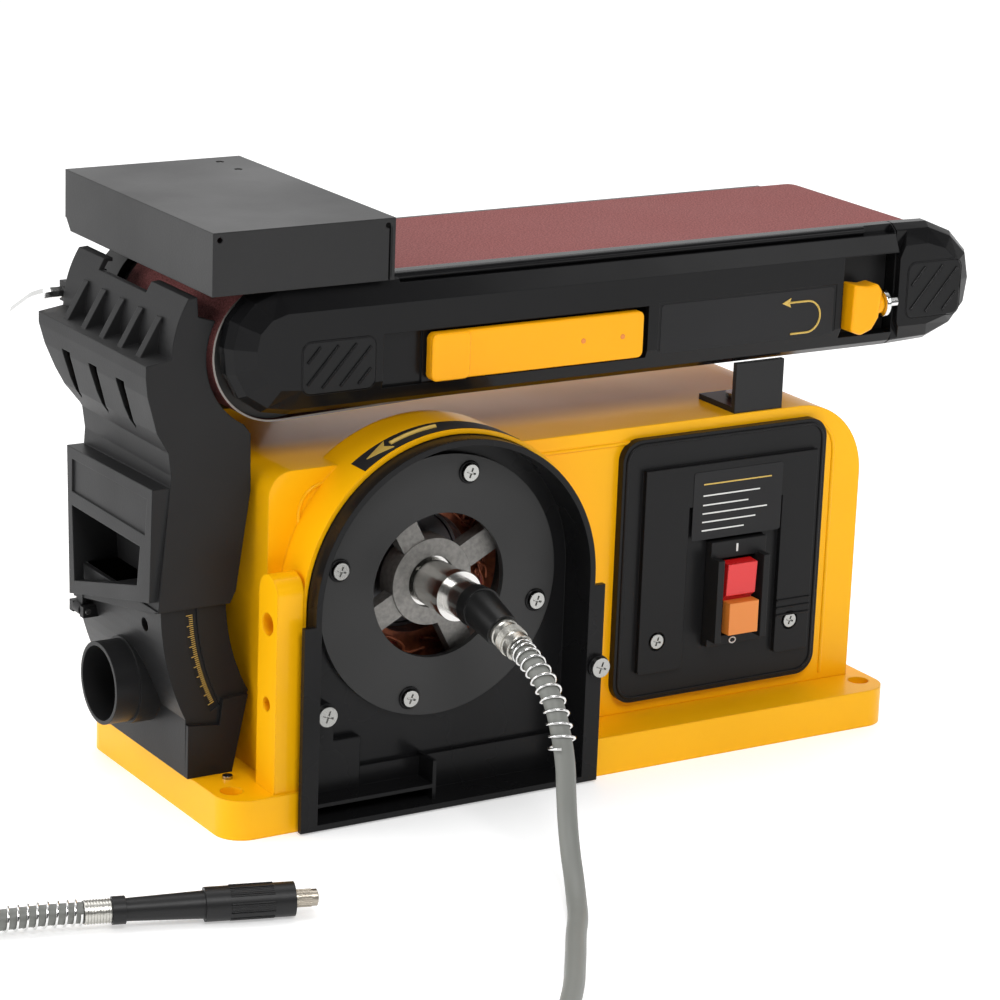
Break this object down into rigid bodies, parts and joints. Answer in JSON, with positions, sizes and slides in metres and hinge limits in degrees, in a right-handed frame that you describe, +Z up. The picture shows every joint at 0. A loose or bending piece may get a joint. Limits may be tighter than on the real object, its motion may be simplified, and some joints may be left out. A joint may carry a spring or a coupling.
{
  "type": "bench belt disc sander",
  "caption": "Bench sander with a tilting belt arm over a motor housing, dust hood and port, disc guard, rocker switch, and a flexible shaft with a rotary handpiece on the motor.",
  "frame": {"origin": "centre of the four bench holes, on the base's bottom face", "axes": "+X along the belt from the drum to the idler, +Y from the disc guard to the back, +Z up"},
  "size_m": [0.6847, 0.4961, 0.2915],
  "materials": {
    "yellow_paint": "smooth satin enamel on a casting",
    "black_guard": "satin black",
    "black_paint": "satin black",
    "screw_steel": "zinc plated",
    "lamination_steel": "stacked laminations",
    "winding": "varnished copper wire",
    "cast_aluminium": "die cast",
    "bearing_steel": "ground",
    "fan_plastic": "moulded",
    "drive_rubber": "ribbed belt rubber",
    "gland_rubber": "moulded",
    "gloss_black": "glossy moulding",
    "black_plastic": "fine grained moulding",
    "red_plastic": "moulded",
    "amber_plastic": "moulded",
    "bracket_black": "satin black",
    "hood_black": "fine grained moulding",
    "chrome": "bright",
    "frame_steel": "grey powder coat",
    "platen_steel": "ground plate",
    "abrasive": "aluminium oxide grit on cloth",
    "stop_black": "satin black powder coat",
    "drum_rubber": "moulded on a steel core",
    "idler_aluminium": "turned",
    "yellow_plastic": "moulded",
    "nose_plastic": "moulded",
    "hose_grey": "smooth extruded jacket",
    "handpiece_black": "moulded with ribbed panels",
    "collet_steel": "knurled"
  },
  "bodies": {
    "machine": {"base": "yellow_paint", "motor_housing": "yellow_paint", "disc_guard": "black_guard", "guard_screws": "screw_steel", "motor_ring": "black_paint", "ring_screws": "screw_steel", "stator_core": "lamination_steel", "windings": "winding", "front_end_bell": "cast_aluminium", "rear_end_bell": "cast_aluminium", "motor_bearings": "bearing_steel", "drive_belt": "drive_rubber", "drive_cover": "black_paint", "cover_screws": "screw_steel", "capacitor": "fan_plastic", "cable_gland": "gland_rubber", "switch_plate": "gloss_black", "plate_screws": "screw_steel", "switch_body": "black_plastic", "rest_bracket": "bracket_black", "bracket_screw": "screw_steel", "pivot_stanchion": "black_paint", "stanchion_bolts": "screw_steel", "dust_duct": "black_plastic", "duct_screw": "screw_steel", "hood_pin": "bearing_steel", "flex_nose": "nose_plastic", "flex_hose": "hose_grey", "hose_springs": "chrome", "handpiece": "handpiece_black"},
    "arm": {"arm_frame": "frame_steel", "pivot_sleeve": "bearing_steel", "front_cover": "gloss_black", "rear_cover": "frame_steel", "end_cap": "gloss_black", "arm_screws": "screw_steel", "platen": "platen_steel", "sanding_belt": "abrasive", "drum_bearings": "bearing_steel", "work_stop": "stop_black", "stop_bracket": "black_paint", "stop_bolts": "screw_steel", "tension_spring": "bearing_steel"},
    "rotor": {"motor_shaft": "bearing_steel", "rotor_core": "lamination_steel", "cooling_fan": "fan_plastic", "motor_pulley": "cast_aluminium", "shaft_adaptor": "bearing_steel"},
    "drum": {"drive_drum": "drum_rubber", "drum_pulley": "cast_aluminium"},
    "idler_carriage": {"idler_yoke": "bearing_steel"},
    "idler": {"idler_roller": "idler_aluminium", "idler_bearings": "bearing_steel"},
    "lever": {"tension_lever": "yellow_plastic"},
    "knob": {"tracking_knob": "yellow_plastic"},
    "hood": {"dust_hood": "hood_black"},
    "hex_key": {"hex_key": "chrome"},
    "paddle": {"switch_paddle": "red_plastic"},
    "safety_key": {"safety_key": "amber_plastic"},
    "collet": {"handpiece_collet": "collet_steel"}
  },
  "joints": [
    {"name": "arm_tilt", "type": "hinge", "parent": "machine", "child": "arm", "pos_m": [-0.153, 0.07, 0.2275], "axis": [0, -1, 0], "range_deg": [0, 90]},
    {"name": "hood_swing", "type": "hinge", "parent": "machine", "child": "hood", "pos_m": [-0.2145, 0.046, 0.084], "axis": [0, -1, 0], "range_deg": [0, 49.5]},
    {"name": "motor_spin", "type": "hinge", "parent": "machine", "child": "rotor", "pos_m": [-0.076, 0, 0.109], "axis": [0, 1, 0], "continuous": true},
    {"name": "drum_spin", "type": "hinge", "parent": "arm", "child": "drum", "pos_m": [-0.153, 0, 0.2275], "axis": [0, 1, 0], "continuous": true},
    {"name": "tension_lever", "type": "hinge", "parent": "arm", "child": "lever", "pos_m": [0.036, -0.0505, 0.2215], "axis": [0, 0, 1], "range_deg": [0, 85.5]},
    {"name": "idler_slide", "type": "slide", "parent": "arm", "child": "idler_carriage", "axis": [-1, 0, 0], "range_m": [0, 0.006], "deforming": ["tension_spring"]},
    {"name": "idler_spin", "type": "hinge", "parent": "idler_carriage", "child": "idler", "pos_m": [0.20965, 0.012, 0.2335], "axis": [0, 1, 0], "continuous": true},
    {"name": "tracking_knob_turn", "type": "hinge", "parent": "arm", "child": "knob", "pos_m": [0.18, -0.054, 0.223], "axis": [1, 0, 0], "range_deg": [-180, 180]},
    {"name": "switch_rock", "type": "hinge", "parent": "machine", "child": "paddle", "pos_m": [0.105, -0.057, 0.079], "axis": [-1, 0, 0], "range_deg": [0, 8]},
    {"name": "safety_key_pull", "type": "slide", "parent": "paddle", "child": "safety_key", "axis": [0, -1, 0], "range_m": [0, 0.012]},
    {"name": "hex_key_pull", "type": "slide", "parent": "hood", "child": "hex_key", "axis": [-1, 0, 0], "range_m": [0, 0.015]},
    {"name": "collet_spin", "type": "hinge", "parent": "machine", "child": "collet", "pos_m": [-0.3, -0.1395, 0.0083], "axis": [0.9574, -0.2886, 0], "continuous": true}
  ],
  "couplings": [
    {"joint": "hood_swing", "follows": "arm_tilt", "ratio": 0.55},
    {"joint": "drum_spin", "follows": "motor_spin", "ratio": 0.76},
    {"joint": "idler_spin", "follows": "motor_spin", "ratio": 0.92889},
    {"joint": "tension_lever", "follows": "idler_slide", "rad_per_m": 247.25},
    {"joint": "collet_spin", "follows": "motor_spin", "ratio": 1}
  ]
}
